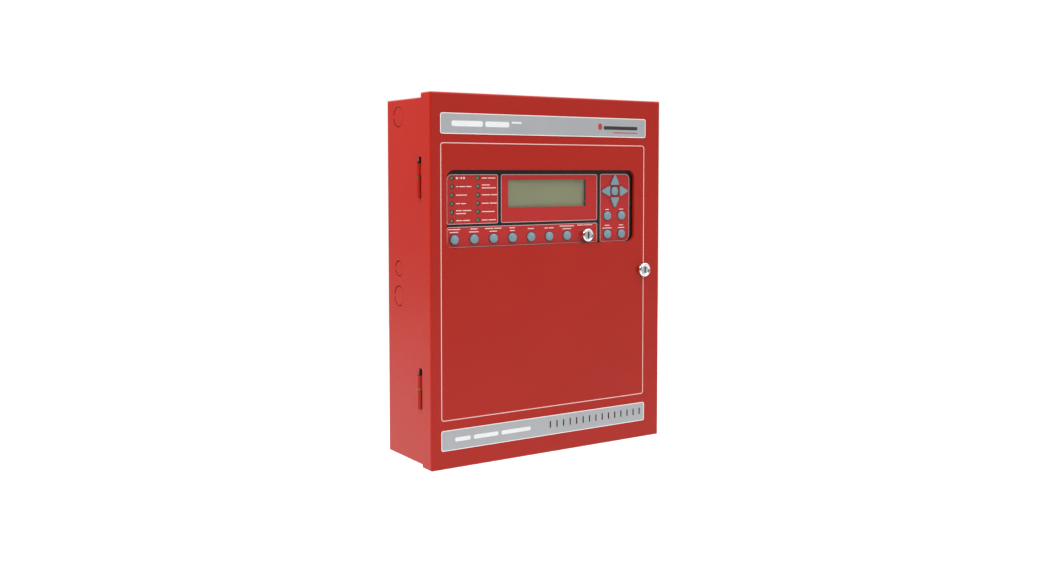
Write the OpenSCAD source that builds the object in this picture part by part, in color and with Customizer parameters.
// Wall-mounted fire alarm control panel: a folded steel cabinet with a lift-off hinged door.
// The door carries the operator panel; the cabinet holds the boards, power supply and batteries.
// Frame: X to the right seen from the front, Y into the wall, Z up.
// Origin: middle of the cabinet's back face, where it meets the wall. Millimetres.

/* [Cabinet] */
// Width of the cabinet's body
cabinet_w = 382; // [378:1:384]
// Height of the cabinet's body
cabinet_h = 492; // [490:1:493]
// Distance from the wall to the front face of the door
total_depth = 130; // [126:1:150]
// Thickness of the folded steel sheet
sheet = 1.5; // [1.2:0.1:1.5]

/* [Door] */
// Width of the door
door_w = 388; // [388:1:392]
// Height of the door
door_h = 500; // [500:1:504]
// Depth of the door's folded sides
door_return = 24.5; // [20:0.5:26]
// Gap between the door's front face and the cabinet's front lip
lip_setback = 4; // [4:0.5:6]
// Depth of the window's folded wall
window_depth = 4.7; // [4:0.1:6]

/* [Operator panel] */
// Diameter of the round keys
key_d = 12.5; // [11:0.1:13]
// Spacing of the function keys
key_pitch = 30.6; // [28:0.1:31]
// Travel of every key
key_travel = 1.2; // [0.4:0.1:1.2]
// Spacing of the status lamps
lamp_pitch = 11.3; // [10:0.1:11.5]

/* [Locks] */
// Diameter of the door lock's head
lock_head_d = 20.5; // [19:0.1:24]
// Diameter of the key switch's head
switch_head_d = 18.5; // [18:0.1:19]
// Height of the cam that catches the cabinet's lip
cam_l = 24.5; // [22:0.5:25]

/* [Batteries] */
// Width of one sealed battery
battery_w = 151; // [140:1:151]
// Depth of one sealed battery
battery_depth = 65; // [55:1:66]
// Height of one sealed battery's case
battery_h = 94; // [85:1:97]

/* [Hidden] */
$fn = 48;
key_count = 7;
FUNCTION_KEYS = [for (i = [1:key_count]) str("function_key_", i)];
ARROW_KEYS = ["arrow_key_up", "arrow_key_right", "arrow_key_down", "arrow_key_left"];
MENU_KEYS = [for (i = [1:4]) str("menu_key_", i)];

// Colours
RED = "#ad3028";
BLACK = "#1c1d1f";
SILVER = "#acaeb0";
STEEL = "#9aa0a4";
CHROME = "#d9dcdd";
BRASS = "#b89a4e";
KEY_BLUE = "#7d96a5";
BOARD_GREEN = "#1f5a38";

// Planes along Y, counted from the door's front face
front = -total_depth;
door_back = front + sheet;
lip_y = front + lip_setback;
film_y = front + window_depth;
film_t = 0.3;
plate_y = film_y + film_t;
plate_t = 1.5;
plate_back = plate_y + plate_t;
board_gap = 10;
display_y = plate_back + board_gap;
board_t = 1.6;
back_inner = -sheet;

// Cabinet
bend_r = 2.5;
lip_w = 10;
hinge_lip_w = 6;
side_x = cabinet_w / 2;
half_h = cabinet_h / 2;
floor_z = -half_h + sheet;
wall_hole_x = 174;
wall_hole_z = 222;
wall_hole_d = 6.5;
knockout_y = -34;
knockout_gap = 1.2;
knockout_shift = 0.9;
knockout_tab = 4;
large_knockout = 28.6;
small_knockout = 22;
SIDE_KNOCKOUTS = [[222.5, large_knockout], [14.3, small_knockout], [-23.7, large_knockout]];
TOP_KNOCKOUTS = [for (i = [-2.5:1:2.5]) [i * 56, abs(i) == 1.5 ? large_knockout : small_knockout]];
BOTTOM_KNOCKOUTS = [for (i = [-1:1]) [i * 112, small_knockout]];

// Door
door_mid_z = 1.8;
window_w = 315.4;
window_h = 104;
window_x = -11.6;
window_z = 97.8;
window_r = 11;
slot_count = 15;
slot_pitch = 11.5;
slot_w = 2.2;
slot_h = 9.4;
slot_x = 76.9;
slot_z = -208.5;
strip_w = 345.4;
strip_h = 27.6;
strip_x = -6.2;
strip_t = 0.3;
strip_r = 3;
title_z = 211;
base_z = -209.5;
stud_d = 4;
FASCIA_STUDS = [for (x = [-150, -10, 130], z = [36.8, 158.8]) [x, z]];

// Hinges
hinge_x = -side_x - 1.5;
hinge_y = front + 33;
HINGE_Z = [140.4, -142.6];
washer_t = 2.4;
knuckle_r = 4.4;
pin_r = 2.3;
pin_play = 0.05;
door_knuckle_h = 16.6;
cabinet_knuckle_h = 26;
pin_above = 25;
pin_point = 5;
leaf_t = 1.2;
leaf_l = 22;

// Operator panel
row_z = 57.3;
first_key_x = -155.8;
nav_x = 112.5;
nav_z = 119.5;
arrow_base = 9;
arrow_tip = 23;
arrow_w = 14;
menu_dx = 12.9;
MENU_ROWS = [83.9, 57.1];
LAMP_COLUMNS = [-159, -119];
lamp_top_z = 139;
lamp_d = 4.8;
lamp_count = 6;
key_play = 0.3;
lcd_x = -5;
lcd_z = 117.4;
lcd_w = 131.2;
lcd_h = 37.6;
switch_x = 59.2;
lock_x = 162.8;
lock_z = 2.8;
thread_d = 15.8;
core_d = 12;
nut_af = 20;
nut_t = 3;

// Chassis and boards
chassis_x = 162;
CHASSIS_Z = [-135, 230];
spacer_l = 10.5;
chassis_t = 1.2;
chassis_y = back_inner - spacer_l;
chassis_front = chassis_y - chassis_t;
main_y = chassis_front - spacer_l;
main_front = main_y - board_t;
MAIN_BOARD = [-150, 150, 40, 215];
SUPPLY = [-155, -15, -110, 32];
supply_depth = 46;
battery_y = -6;
battery_gap = 9;
battery_top = floor_z + battery_h;
earth_x = -176;
earth_z = -60;
door_earth_x = -163;

function key_x(i) = first_key_x + key_pitch * i;
function middle(a, b) = (a + b) / 2;
function menu_place(i) = [nav_x + (i % 2 == 0 ? -menu_dx : menu_dx), MENU_ROWS[floor(i / 2)]];
ROUND_KEYS = concat(
  [for (i = [0:key_count - 1]) [key_x(i), row_z]],
  [for (i = [0:3]) menu_place(i)],
  [[nav_x, nav_z]]
);

// ---- Shared shapes ----

// A drawing in X and Z made solid between two depths
module slab(y0, y1) {
  translate([0, y1, 0])
    rotate([90, 0, 0])
      linear_extrude(y1 - y0)
        children();
}

module rod(x, z, d, y0, y1, sides = 48) {
  slab(y0, y1)
    translate([x, z])
      circle(d = d, $fn = sides);
}

module block(x0, x1, y0, y1, z0, z1) {
  translate([x0, y0, z0])
    cube([x1 - x0, y1 - y0, z1 - z0]);
}

module rounded_rect(w, h, r) {
  square([w - 2 * r, h], center = true);
  square([w, h - 2 * r], center = true);
  for (x = [-1, 1], z = [-1, 1])
    translate([x * (w / 2 - r), z * (h / 2 - r)])
      circle(r);
}

// A box whose twelve edges are rounded by bending, with its middle at X = 0
module bent_box(w, h, mid_z, y0, y1, r) {
  d = y1 - y0;
  intersection() {
    translate([0, middle(y0, y1), mid_z - h / 2])
      linear_extrude(h)
        rounded_rect(w, d, r);
    translate([-w / 2, middle(y0, y1), mid_z])
      rotate([90, 0, 90])
        linear_extrude(w)
          rounded_rect(d, h, r);
    slab(y0, y1)
      translate([0, mid_z])
        rounded_rect(w, h, r);
  }
}

// A hexagon nut along Y
module nut(x, z, af, y0, y1, hole_d) {
  slab(y0, y1)
    translate([x, z])
      difference() {
        circle(d = af / cos(30), $fn = 6);
        circle(d = hole_d);
      }
}

// The cut that leaves a knockout disc hanging on two tabs; drawn flat
module knockout_cut(d) {
  difference() {
    circle(d = d);
    translate([-knockout_shift, 0])
      circle(d = d - 2 * knockout_gap);
    square([d + 2, knockout_tab], center = true);
  }
}

function unit(v) = v / norm(v);
function tangent(p, i) = unit(p[min(i + 1, len(p) - 1)] - p[max(i - 1, 0)]);

// A point on the smooth curve through p; s runs from 0 to len(p) - 1
function curve_point(p, s) =
  let (
    last = len(p) - 1,
    i = min(floor(s), last - 1),
    t = s - i,
    a = p[max(i - 1, 0)],
    b = p[i],
    c = p[i + 1],
    d = p[min(i + 2, last)]
  )
  0.5 * (2 * b + (c - a) * t + (2 * a - 5 * b + 4 * c - d) * t * t + (3 * b - a - 3 * c + d) * t * t * t);

function curve(p, steps) = [for (k = [0:(len(p) - 1) * steps]) curve_point(p, k / steps)];

// Sweeps a flat section along a route; side is a direction that the route never follows
module sweep(route, section, side, steps) {
  path = curve(route, steps);
  n = len(section);
  rings = [
    for (i = [0:len(path) - 1])
      let (
        t = tangent(path, i),
        u = unit(cross(side, t)),
        v = cross(t, u)
      )
      for (q = section) path[i] + u * q[0] + v * q[1]
  ];
  last = len(path) - 1;
  walls = [
    for (i = [0:last - 1], k = [0:n - 1])
      [i * n + k, (i + 1) * n + k, (i + 1) * n + (k + 1) % n, i * n + (k + 1) % n]
  ];
  start_cap = [for (k = [0:n - 1]) k];
  end_cap = [for (k = [n - 1:-1:0]) last * n + k];
  polyhedron(points = rings, faces = concat(walls, [start_cap], [end_cap]));
}

function ring_section(r, sides) = [for (k = [0:sides - 1]) r * [cos(360 * k / sides), sin(360 * k / sides)]];

// ---- Cabinet ----

module hinge_slot(z) {
  block(
    -side_x - 1, -side_x + sheet + 1,
    hinge_y - 9, hinge_y + 5.2,
    z - washer_t / 2 - cabinet_knuckle_h - 0.6, z + pin_above + washer_t / 2 + 0.6
  );
}

module back_box() {
  color(RED) difference() {
    bent_box(cabinet_w, cabinet_h, 0, lip_y, 0, bend_r);
    bent_box(cabinet_w - 2 * sheet, cabinet_h - 2 * sheet, 0, lip_y + sheet, back_inner, bend_r - sheet);
    block(
      -side_x + hinge_lip_w, side_x - lip_w,
      lip_y - 1, lip_y + sheet + 2,
      -half_h + lip_w, half_h - lip_w
    );
    for (z = HINGE_Z)
      hinge_slot(z);
    for (x = [-1, 1], z = [-1, 1])
      rod(x * wall_hole_x, z * wall_hole_z, wall_hole_d, back_inner - 1, 1);
    for (side = [-1, 1], k = SIDE_KNOCKOUTS)
      translate([side * side_x - 3, knockout_y, k[0]])
        rotate([90, 0, 90])
          linear_extrude(6)
            knockout_cut(k[1]);
    for (k = TOP_KNOCKOUTS)
      translate([k[0], knockout_y, half_h - 3])
        linear_extrude(6)
          knockout_cut(k[1]);
    for (k = BOTTOM_KNOCKOUTS)
      translate([k[0], knockout_y, -half_h - 3])
        linear_extrude(6)
          knockout_cut(k[1]);
  }
}

module cabinet_hinge_leaves() {
  color(RED) for (z = HINGE_Z) {
    top = z - washer_t / 2;
    difference() {
      union() {
        translate([hinge_x, hinge_y, top - cabinet_knuckle_h])
          cylinder(r = knuckle_r, h = cabinet_knuckle_h);
        block(
          -side_x + sheet, -side_x + sheet + leaf_t,
          hinge_y, hinge_y + leaf_l,
          top - cabinet_knuckle_h, top
        );
      }
      translate([hinge_x, hinge_y, top - cabinet_knuckle_h - 1])
        cylinder(r = pin_r, h = cabinet_knuckle_h + 2);
    }
  }
}

module hinge_pins() {
  color(STEEL) for (z = HINGE_Z)
    translate([hinge_x, hinge_y, z - washer_t / 2 - cabinet_knuckle_h]) {
      cylinder(r = pin_r, h = cabinet_knuckle_h + washer_t + pin_above - pin_point);
      translate([0, 0, cabinet_knuckle_h + washer_t + pin_above - pin_point])
        cylinder(r1 = pin_r, r2 = 0.9, h = pin_point);
    }
}

module hinge_washers() {
  color(BRASS) for (z = HINGE_Z)
    translate([hinge_x, hinge_y, z - washer_t / 2])
      difference() {
        cylinder(r = knuckle_r, h = washer_t);
        translate([0, 0, -1])
          cylinder(r = pin_r + pin_play, h = washer_t + 2);
      }
}

module earth_stud() {
  color(BRASS) {
    rod(earth_x, earth_z, 6, -24, back_inner);
    nut(earth_x, earth_z, 10, -8, -3, 5.9);
    nut(earth_x, earth_z, 10, -18, -13, 5.9);
  }
}

// ---- Chassis ----

CHASSIS_FIXINGS = [
  for (x = [-chassis_x + 8, chassis_x - 8], z = [CHASSIS_Z[0] + 6, CHASSIS_Z[1] - 6]) [x, z]
];
BOARD_FIXINGS = [
  for (x = [MAIN_BOARD[0] + 6, 0, MAIN_BOARD[1] - 6], z = [MAIN_BOARD[2] + 6, MAIN_BOARD[3] - 6]) [x, z]
];

module chassis_plate() {
  color(SILVER) difference() {
    union() {
      block(-chassis_x, chassis_x, chassis_front, chassis_y, CHASSIS_Z[0], CHASSIS_Z[1]);
      for (side = [-1, 1])
        block(
          side * (chassis_x - chassis_t / 2) - chassis_t / 2, side * (chassis_x - chassis_t / 2) + chassis_t / 2,
          chassis_front - 8, chassis_y,
          CHASSIS_Z[0], CHASSIS_Z[1]
        );
    }
    for (p = concat(CHASSIS_FIXINGS, BOARD_FIXINGS))
      rod(p[0], p[1], 3.4, chassis_front - 1, chassis_y + 1);
  }
}

module spacer(x, z, y0, y1, hole_d) {
  difference() {
    rod(x, z, 5.5 / cos(30), y0, y1, 6);
    rod(x, z, hole_d, y0 - 1, y1 + 1);
  }
}

module spacers() {
  color(BRASS) {
    for (p = CHASSIS_FIXINGS)
      spacer(p[0], p[1], chassis_y, back_inner, 2.9);
    for (p = BOARD_FIXINGS)
      spacer(p[0], p[1], main_y, chassis_front, 2.9);
  }
}

module screw(x, z, seat_y, length) {
  rod(x, z, 5.6, seat_y - 2, seat_y);
  rod(x, z, 2.9, seat_y - 0.1, seat_y + length);
}

module chassis_nuts() {
  color(CHROME) {
    for (p = CHASSIS_FIXINGS)
      screw(p[0], p[1], chassis_front, 8);
    for (p = BOARD_FIXINGS)
      screw(p[0], p[1], main_front, 8);
  }
}

// ---- Main board ----

module main_board() {
  color(BOARD_GREEN) difference() {
    block(MAIN_BOARD[0], MAIN_BOARD[1], main_front, main_y, MAIN_BOARD[2], MAIN_BOARD[3]);
    for (p = BOARD_FIXINGS)
      rod(p[0], p[1], 3.4, main_front - 1, main_y + 1);
  }
}

terminal_ways = 5;
terminal_pitch = 5.08;
terminal_w = terminal_ways * terminal_pitch + 0.6;

// A pluggable terminal block, its wire side towards dir
module terminal_block(x, z, dir) {
  translate([x, main_front, z])
    rotate([90, 0, 90])
      linear_extrude(terminal_w)
        polygon([[0, -6 * dir], [-8, -6 * dir], [-15, -3 * dir], [-15, 4 * dir], [-9, 6 * dir], [0, 6 * dir]]);
}

terminal_step = 30;

module field_terminals() {
  color("#3f8f4f") for (i = [0:3], half = [-1, 1], row = [-1, 1])
    terminal_block(
      half * 72 + (i - 2) * terminal_step + 1.8,
      row < 0 ? MAIN_BOARD[2] + 20 : MAIN_BOARD[3] - 20,
      row
    );
}

module board_relays() {
  color("#2f5f9f") for (i = [0:5])
    block(-20 + i * 24, -1 + i * 24, main_front - 15.5, main_front, 162, 177);
}

module chip(x, z, w, h, t) {
  block(x - w / 2, x + w / 2, main_front - t, main_front, z - h / 2, z + h / 2);
}

module board_chips() {
  color(BLACK) {
    chip(-60, 130, 24, 24, 2.2);
    chip(-98, 122, 10, 26, 3);
    chip(-20, 120, 28, 12, 2.6);
    for (i = [0:3])
      chip(28 + i * 28, 100, 12, 18, 2.4);
    for (i = [0:2])
      chip(30 + i * 34, 134, 16, 8, 2);
  }
}

HEADER_Z = [88, 121];
header_x = -128;
header_w = 9;
header_h = 9;
door_header_x = -140;

module main_ribbon_header() {
  color(BLACK) difference() {
    block(header_x, header_x + header_w, main_front - header_h, main_front, HEADER_Z[0], HEADER_Z[1]);
    block(
      header_x + 1, header_x + header_w - 1,
      main_front - header_h - 1, main_front - 2,
      HEADER_Z[0] + 1, HEADER_Z[1] - 1
    );
  }
}

// ---- Power supply ----

supply_back = chassis_front;
supply_front = supply_back - supply_depth;
supply_board_y = supply_back - 8;

module power_supply_case() {
  color(SILVER) difference() {
    block(SUPPLY[0], SUPPLY[1], supply_front, supply_back, SUPPLY[2], SUPPLY[3]);
    block(
      SUPPLY[0] + 1.2, SUPPLY[1] - 1.2,
      supply_front + 1.2, supply_back - 1.2,
      SUPPLY[2] - 1, SUPPLY[3] - 1.2
    );
    for (i = [0:10], k = [0:7])
      rod(SUPPLY[0] + 20 + i * 10, SUPPLY[2] + 45 + k * 12, 6, supply_front - 1, supply_front + 2);
  }
}

module power_supply_board() {
  color("#8a5a2a") {
    block(SUPPLY[0] + 3, SUPPLY[1] - 3, supply_board_y - board_t, supply_board_y, SUPPLY[2] + 2, SUPPLY[3] - 6);
    for (x = [SUPPLY[0] + 9, SUPPLY[1] - 9], z = [SUPPLY[2] + 8, SUPPLY[3] - 12])
      rod(x, z, 6, supply_board_y - 0.5, supply_back - 1.2);
  }
}

module transformer() {
  color("#a8802f") {
    seat = supply_board_y - board_t;
    block(-105, -55, seat - 26, seat, -34, 16);
    block(-97, -63, seat - 30, seat, -24, 6);
  }
}

module mains_terminal_block() {
  color("#e7e4da") {
    difference() {
      block(30, 90, chassis_front - 22, chassis_front, -125, -97);
      for (i = [0:3])
        rod(39 + i * 14, -106, 7, chassis_front - 23, chassis_front - 12);
    }
    block(104, 118, chassis_front - 18, chassis_front, -125, -90);
  }
}

// ---- Batteries ----

module battery_case(x0) {
  seat_y = battery_y - battery_depth;
  block(x0, x0 + battery_w, seat_y, battery_y, floor_z, battery_top - 6);
  block(x0 + 1.5, x0 + battery_w - 1.5, seat_y + 1.5, battery_y - 1.5, floor_z, battery_top);
}

module battery_tabs(x0) {
  for (x = [x0 + 12, x0 + battery_w - 12])
    block(x - 3.2, x + 3.2, battery_y - 14, battery_y - 13.2, battery_top - 0.5, battery_top + 6);
}

module battery(x0) {
  color("#2b2d31") battery_case(x0);
  color(STEEL) battery_tabs(x0);
}

module battery_left() {
  battery(-battery_gap - battery_w);
}

module battery_right() {
  battery(battery_gap);
}

bracket_z = -196;

module battery_bracket() {
  color(STEEL) {
    y1 = battery_y - battery_depth;
    block(-170, 170, y1 - sheet, y1, bracket_z - 9, bracket_z + 9);
    for (side = [-1, 1]) {
      block(side * 169.25 - 0.75, side * 169.25 + 0.75, y1 - sheet, back_inner, bracket_z - 9, bracket_z + 9);
      block(side * 177 - 8.5, side * 177 + 8.5, back_inner - sheet, back_inner, bracket_z - 9, bracket_z + 9);
    }
  }
}

// ---- Leads inside ----

tab_top = battery_top + 1;
tab_y = battery_y - 13.6;
lead_r = 1.3;
// Centres of the four battery tabs, left to right
TABS = [-battery_gap - battery_w + 12, -battery_gap - 12, battery_gap + 12, battery_gap + battery_w - 12];

module boot(x) {
  difference() {
    block(x - 4.6, x + 4.6, tab_y - 2.6, tab_y + 2.6, tab_top, tab_top + 15);
    block(x - 3.3, x + 3.3, tab_y - 0.5, tab_y + 0.5, tab_top - 1, tab_top + 6);
  }
}

boot_top = tab_top + 15;
LINK_ROUTE = [
  [TABS[1], tab_y, boot_top - 1], [TABS[1], tab_y, boot_top + 8], [TABS[1] + 8, tab_y - 4, boot_top + 17],
  [0, tab_y - 6, boot_top + 20],
  [TABS[2] - 8, tab_y - 4, boot_top + 17], [TABS[2], tab_y, boot_top + 8], [TABS[2], tab_y, boot_top - 1]
];

module battery_link_lead() {
  color("#2f6fb5") {
    boot(TABS[1]);
    boot(TABS[2]);
    sweep(LINK_ROUTE, ring_section(lead_r, 8), [0, 1, 0], 5);
  }
}

supply_exit_y = middle(supply_front, supply_back);
supply_exit_z = SUPPLY[2] - 0.6;
NEGATIVE_ROUTE = [
  [TABS[0], tab_y, boot_top - 1], [TABS[0], tab_y, boot_top + 6], [TABS[0] + 7, tab_y - 8, boot_top + 12],
  [-122, -30, boot_top + 10], [-112, supply_exit_y, boot_top + 12], [-112, supply_exit_y, SUPPLY[2] + 2]
];
POSITIVE_ROUTE = [
  [TABS[3], tab_y, boot_top - 1], [TABS[3], tab_y, boot_top + 6], [TABS[3] - 10, tab_y - 8, boot_top + 10],
  [90, -40, boot_top + 6], [30, -48, boot_top + 7], [-30, -46, boot_top + 8],
  [-60, supply_exit_y - 2, boot_top + 9], [-70, supply_exit_y, boot_top + 13], [-70, supply_exit_y, SUPPLY[2] + 2]
];

module battery_leads() {
  color("#8f1f1f") {
    boot(TABS[0]);
    boot(TABS[3]);
    sweep(NEGATIVE_ROUTE, ring_section(lead_r, 8), [0, 1, 0], 4);
    sweep(POSITIVE_ROUTE, ring_section(lead_r, 8), [0, 1, 0], 4);
  }
}

EARTH_ROUTE = [
  [earth_x, -10.5, earth_z - 5], [earth_x, -11, earth_z - 14], [earth_x, -22, earth_z - 34],
  [earth_x + 2, -45, earth_z - 52], [earth_x + 8, -72, earth_z - 52], [door_earth_x, -100, earth_z - 34],
  [door_earth_x, -116, earth_z - 14], [door_earth_x, door_back + 8.5, earth_z - 5]
];

module earth_lead() {
  color("#7f9a2a") {
    difference() {
      rod(earth_x, earth_z, 11, -12.2, -11);
      rod(earth_x, earth_z, 6.4, -13, -10);
    }
    difference() {
      rod(door_earth_x, earth_z, 9, door_back + 7.6, door_back + 8.6);
      rod(door_earth_x, earth_z, 4.4, door_back + 7, door_back + 9);
    }
    sweep(EARTH_ROUTE, ring_section(1.6, 8), [1, 0, 0], 4);
  }
}

plug_t = 5;
header_mid_z = middle(HEADER_Z[0], HEADER_Z[1]);
main_plug_y = main_front - header_h - 1;
door_plug_y = display_y + board_t + header_h + 1;
RIBBON_ROUTE = [
  [header_x + 4.5, main_plug_y - plug_t + 1, header_mid_z], [header_x + 2, main_plug_y - plug_t - 4, header_mid_z],
  [-140, -52, header_mid_z], [-154, -60, header_mid_z], [-160, -72, header_mid_z],
  [-158, -84, header_mid_z], [-148, -92, header_mid_z],
  [door_header_x + 3, door_plug_y + plug_t + 4, header_mid_z],
  [door_header_x + 4.5, door_plug_y + plug_t - 1, header_mid_z]
];
ribbon_w = 25.4;
ribbon_t = 1;

module ribbon_plug(x, y0, y1) {
  block(x + 1.2, x + header_w - 1.2, y0, y1, HEADER_Z[0] + 1.2, HEADER_Z[1] - 1.2);
}

module ribbon_cable() {
  half_w = ribbon_w / 2;
  half_t = ribbon_t / 2;
  color("#9a9da1") {
    ribbon_plug(header_x, main_plug_y - plug_t, main_front - 2.3);
    ribbon_plug(door_header_x, display_y + board_t + 2.3, door_plug_y + plug_t);
    sweep(
      RIBBON_ROUTE,
      [[half_t, half_w], [-half_t, half_w], [-half_t, -half_w], [half_t, -half_w]],
      [0, 0, 1], 5
    );
  }
}

// ---- Door ----

module door_panel() {
  color(RED) difference() {
    union() {
      intersection() {
        difference() {
          bent_box(door_w, door_h, door_mid_z, front, front + door_return + 10, bend_r);
          bent_box(
            door_w - 2 * sheet, door_h - 2 * sheet, door_mid_z,
            door_back, front + door_return + 12, bend_r - sheet
          );
        }
        block(-door_w, door_w, front - 1, front + door_return, -door_h, door_h);
      }
      slab(front + 0.2, film_y)
        translate([window_x, window_z])
          rounded_rect(window_w + 2 * sheet, window_h + 2 * sheet, window_r + sheet);
      for (p = FASCIA_STUDS)
        rod(p[0], p[1], stud_d, door_back - 0.5, door_back + 10);
      rod(door_earth_x, earth_z, stud_d, door_back - 0.5, door_back + 12);
    }
    slab(front - 1, film_y + 1)
      translate([window_x, window_z])
        rounded_rect(window_w, window_h, window_r);
    rod(lock_x, lock_z, thread_d + 0.4, front - 1, door_back + 1);
    grille_slots(front - 1, door_back + 1);
  }
}

module grille_slots(y0, y1) {
  for (i = [0:slot_count - 1]) {
    x = slot_x + (i - (slot_count - 1) / 2) * slot_pitch;
    block(x - slot_w / 2, x + slot_w / 2, y0, y1, slot_z - slot_h / 2, slot_z + slot_h / 2);
  }
}

module door_hinge_leaves() {
  color(RED) for (z = HINGE_Z) {
    low = z + washer_t / 2;
    difference() {
      union() {
        translate([hinge_x, hinge_y, low])
          cylinder(r = knuckle_r, h = door_knuckle_h);
        block(
          -door_w / 2 + sheet, -door_w / 2 + sheet + leaf_t,
          hinge_y - leaf_l, hinge_y,
          low, low + door_knuckle_h
        );
      }
      translate([hinge_x, hinge_y, low - 1])
        cylinder(r = pin_r + pin_play, h = door_knuckle_h + 2);
    }
  }
}

module strip(z) {
  slab(front - strip_t, front)
    translate([strip_x, z])
      rounded_rect(strip_w, strip_h, strip_r);
}

module title_strip() {
  color(SILVER) strip(title_z);
}

module base_strip() {
  color(SILVER) difference() {
    strip(base_z);
    grille_slots(front - 2, front + 1);
  }
}

// ---- Operator panel on the door ----

module arrow_outline(grow) {
  w = arrow_w / 2 + grow;
  polygon([
    [-w, arrow_base - grow], [w, arrow_base - grow],
    [w, arrow_base + 2.5], [1.2 + grow / 2, arrow_tip + grow], [-1.2 - grow / 2, arrow_tip + grow],
    [-w, arrow_base + 2.5]
  ]);
}

module key_holes(y0, y1) {
  for (p = ROUND_KEYS)
    rod(p[0], p[1], key_d + 2 * key_play, y0, y1);
  for (a = [0:90:270])
    slab(y0, y1)
      translate([nav_x, nav_z])
        rotate(a)
          arrow_outline(key_play);
  for (x = LAMP_COLUMNS, i = [0:lamp_count - 1])
    rod(x, lamp_top_z - i * lamp_pitch, lamp_d + 2 * key_play, y0, y1);
  rod(switch_x, row_z, thread_d + 0.4, y0, y1);
}

module fascia_plate() {
  color(STEEL) difference() {
    block(-171, 152, plate_y, plate_back, 31, 164);
    key_holes(plate_y - 1, plate_back + 1);
    for (p = FASCIA_STUDS)
      rod(p[0], p[1], stud_d + 0.5, plate_y - 1, plate_back + 1);
    slab(plate_y - 1, plate_back + 1)
      translate([lcd_x, lcd_z])
        square([lcd_w + 4, lcd_h + 4], center = true);
  }
}

module fascia_film() {
  color(BLACK) difference() {
    slab(film_y, plate_y)
      translate([window_x, window_z])
        rounded_rect(window_w + 5, window_h + 5, window_r + 1);
    key_holes(film_y - 1, plate_y + 1);
    slab(film_y - 1, plate_y + 1)
      translate([lcd_x, lcd_z])
        square([lcd_w, lcd_h], center = true);
  }
}

module display_window() {
  color("#8b8f75") slab(plate_y, plate_back)
    translate([lcd_x, lcd_z])
      square([lcd_w + 3.6, lcd_h + 3.6], center = true);
}

lcd_front = plate_back + 1.8;
lcd_board_y = lcd_front + 4.4;
lcd_board_w = 176;
lcd_board_h = 62;

module lcd_module() {
  color("#858a69") difference() {
    slab(lcd_front, lcd_board_y)
      translate([lcd_x, lcd_z])
        square([lcd_w + 20, lcd_h + 14], center = true);
    slab(lcd_front - 1, lcd_front + 0.4)
      translate([lcd_x, lcd_z])
        square([lcd_w + 3, lcd_h + 3], center = true);
  }
  color(BOARD_GREEN) difference() {
    slab(lcd_board_y, lcd_board_y + board_t)
      translate([lcd_x, lcd_z])
        square([lcd_board_w, lcd_board_h], center = true);
    for (p = LCD_FIXINGS)
      rod(p[0], p[1], 2.6, lcd_board_y - 1, lcd_board_y + board_t + 1);
  }
}

LCD_FIXINGS = [
  for (x = [-1, 1], z = [-1, 1]) [lcd_x + x * (lcd_board_w / 2 - 4), lcd_z + z * (lcd_board_h / 2 - 4)]
];
DISPLAY_FIXINGS = [[-146, 145.5], [145, 143.5], [-139.5, 49.5], [-78.5, 49.5], [145, 51.5]];

module display_board() {
  color(BOARD_GREEN) difference() {
    block(-162, 150, display_y, display_y + board_t, 45.5, 150.5);
    rod(switch_x, row_z, thread_d + 1.2, display_y - 1, display_y + board_t + 1);
    for (p = DISPLAY_FIXINGS)
      rod(p[0], p[1], 2.6, display_y - 1, display_y + board_t + 1);
  }
}

module display_spacers() {
  color(BRASS) {
    for (p = DISPLAY_FIXINGS)
      spacer(p[0], p[1], plate_back, display_y, 2.4);
    for (p = LCD_FIXINGS)
      spacer(p[0], p[1], plate_back, lcd_board_y, 2.4);
  }
}

switch_top = display_y - 4.1;
ARROW_PLACES = [for (a = [0:90:270]) [nav_x - 14 * sin(a), nav_z + 14 * cos(a)]];

module tactile_switches() {
  color(BLACK) for (p = concat(ROUND_KEYS, ARROW_PLACES)) {
    block(p[0] - 3, p[0] + 3, display_y - 3.5, display_y, p[1] - 3, p[1] + 3);
    rod(p[0], p[1], 3.4, switch_top, display_y - 3);
  }
}

module status_lamps() {
  color("#7a8a6a") for (x = LAMP_COLUMNS, i = [0:lamp_count - 1]) {
    z = lamp_top_z - i * lamp_pitch;
    tip = film_y - 0.4;
    rod(x, z, lamp_d, tip + 2, display_y);
    intersection() {
      translate([x, tip + lamp_d / 2 + 0.6, z])
        sphere(d = lamp_d + 1.2);
      rod(x, z, lamp_d, tip, tip + 3);
    }
  }
}

module sounder() {
  color(BLACK) difference() {
    union() {
      rod(slot_x, slot_z, 34, door_back + 1, door_back + 15);
      block(slot_x - 24, slot_x + 24, door_back, door_back + 3, slot_z - 5, slot_z + 5);
    }
    rod(slot_x, slot_z, 28, door_back - 1, door_back + 4);
  }
}

module fascia_nuts() {
  color(CHROME) {
    for (p = FASCIA_STUDS)
      nut(p[0], p[1], 7, plate_back, plate_back + 3.2, stud_d);
    nut(door_earth_x, earth_z, 7, door_back + 8.6, door_back + 11.8, stud_d);
  }
}

module door_ribbon_header() {
  color(BLACK) difference() {
    block(
      door_header_x, door_header_x + header_w,
      display_y + board_t, display_y + board_t + header_h,
      HEADER_Z[0], HEADER_Z[1]
    );
    block(
      door_header_x + 1, door_header_x + header_w - 1,
      display_y + board_t + 2, display_y + board_t + header_h + 1,
      HEADER_Z[0] + 1, HEADER_Z[1] - 1
    );
  }
}

// ---- Locks ----

core_play = 0.05;
keyway_w = 1.6;
lock_front = front - 6.5;
lock_end = front + 6;
switch_front = film_y - 10;
switch_end = display_y + board_t + 4;

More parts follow.
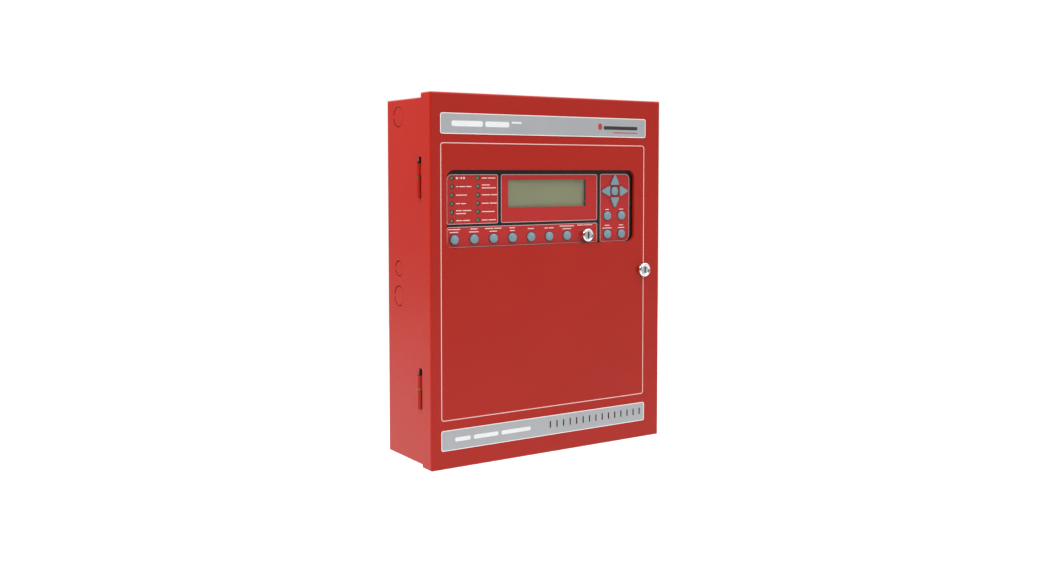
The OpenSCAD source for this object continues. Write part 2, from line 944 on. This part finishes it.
module lock_head(x, z, d, y0, y1) {
  chamfer = 1.2;
  translate([x, y1, z])
    rotate([90, 0, 0])
      rotate_extrude($fn = 64)
        polygon([[0, 0], [d / 2, 0], [d / 2, y1 - y0 - chamfer], [d / 2 - chamfer, y1 - y0], [0, y1 - y0]]);
}

module lock_body() {
  color(CHROME) difference() {
    union() {
      lock_head(lock_x, lock_z, lock_head_d, lock_front, front);
      rod(lock_x, lock_z, thread_d, front - 0.5, lock_end);
    }
    rod(lock_x, lock_z, core_d + 2 * core_play, lock_front - 1, lock_end + 1);
  }
}

module lock_nuts() {
  color(STEEL) {
    nut(lock_x, lock_z, nut_af, door_back, door_back + nut_t, thread_d);
    nut(switch_x, row_z, nut_af, plate_back, plate_back + nut_t, thread_d);
  }
}

module lock_core() {
  cam_y = lock_end + 0.2;
  color(CHROME) difference() {
    rod(lock_x, lock_z, core_d, lock_front + 0.5, cam_y + 0.5);
    block(
      lock_x - keyway_w / 2, lock_x + keyway_w / 2,
      lock_front - 1, lock_front + 8,
      lock_z - 4.5, lock_z + 4.5
    );
  }
  color(STEEL) {
    slab(cam_y, cam_y + 2)
      translate([lock_x, lock_z]) {
        circle(d = thread_d);
        translate([-7, -cam_l])
          square([14, cam_l]);
      }
    rod(lock_x, lock_z, 8, cam_y + 1.5, cam_y + 4.5, 6);
  }
}

module key_switch_body() {
  color(CHROME) difference() {
    union() {
      lock_head(switch_x, row_z, switch_head_d, switch_front, film_y);
      rod(switch_x, row_z, thread_d, film_y - 0.5, switch_end);
    }
    rod(switch_x, row_z, core_d + 2 * core_play, switch_front - 1, switch_end - 2);
  }
  color(BLACK)
    block(switch_x - 10, switch_x + 10, switch_end - 0.5, switch_end + 12, row_z - 9, row_z + 9);
}

module key_switch_core() {
  color(CHROME) difference() {
    rod(switch_x, row_z, core_d, switch_front + 0.5, switch_end - 2.3);
    block(
      switch_x - keyway_w / 2, switch_x + keyway_w / 2,
      switch_front - 1, switch_front + 8,
      row_z - 4, row_z + 4
    );
  }
}

// ---- Keys ----

key_edge = 1.5;
key_crown = 14;
flange_y = plate_back + 0.3;
flange_t = 1;
stem_end = switch_top - key_travel - 0.2;

module key_stem(x, z) {
  rod(x, z, 4, flange_y + flange_t - 0.2, stem_end);
}

module round_key(x, z) {
  color(KEY_BLUE) {
    crown_y = film_y - 2 * key_edge + key_crown;
    intersection() {
      rod(x, z, key_d, film_y - 3 * key_edge, flange_y + 0.2);
      union() {
        translate([x, crown_y, z])
          sphere(r = key_crown, $fn = 96);
        block(x - key_d, x + key_d, film_y - key_edge / 4, flange_y + 1, z - key_d, z + key_d);
      }
    }
    rod(x, z, key_d + 2.4, flange_y, flange_y + flange_t);
    key_stem(x, z);
  }
}

module arrow_key(quarter) {
  color(KEY_BLUE) {
    translate([nav_x, 0, nav_z])
      rotate([0, -90 * quarter, 0]) {
        slab(film_y - 2.2, flange_y + 0.2)
          arrow_outline(0);
        slab(flange_y, flange_y + flange_t)
          arrow_outline(0.8);
      }
    key_stem(ARROW_PLACES[quarter][0], ARROW_PLACES[quarter][1]);
  }
}

// ---- Build ----

back_box();
cabinet_hinge_leaves();
hinge_pins();
hinge_washers();
earth_stud();
chassis_plate();
spacers();
chassis_nuts();
main_board();
field_terminals();
board_relays();
board_chips();
main_ribbon_header();
power_supply_case();
power_supply_board();
transformer();
mains_terminal_block();
battery_left();
battery_right();
battery_bracket();
battery_link_lead();
battery_leads();
earth_lead();
ribbon_cable();
door_panel();
door_hinge_leaves();
title_strip();
base_strip();
fascia_plate();
fascia_film();
display_window();
lcd_module();
display_board();
display_spacers();
tactile_switches();
status_lamps();
sounder();
fascia_nuts();
door_ribbon_header();
lock_body();
lock_nuts();
lock_core();
key_switch_body();
key_switch_core();
for (i = [0:key_count - 1])
  round_key(key_x(i), row_z);
for (i = [0:3])
  round_key(menu_place(i)[0], menu_place(i)[1]);
round_key(nav_x, nav_z);  // enter_key
for (i = [0:3])
  arrow_key((4 - i) % 4);
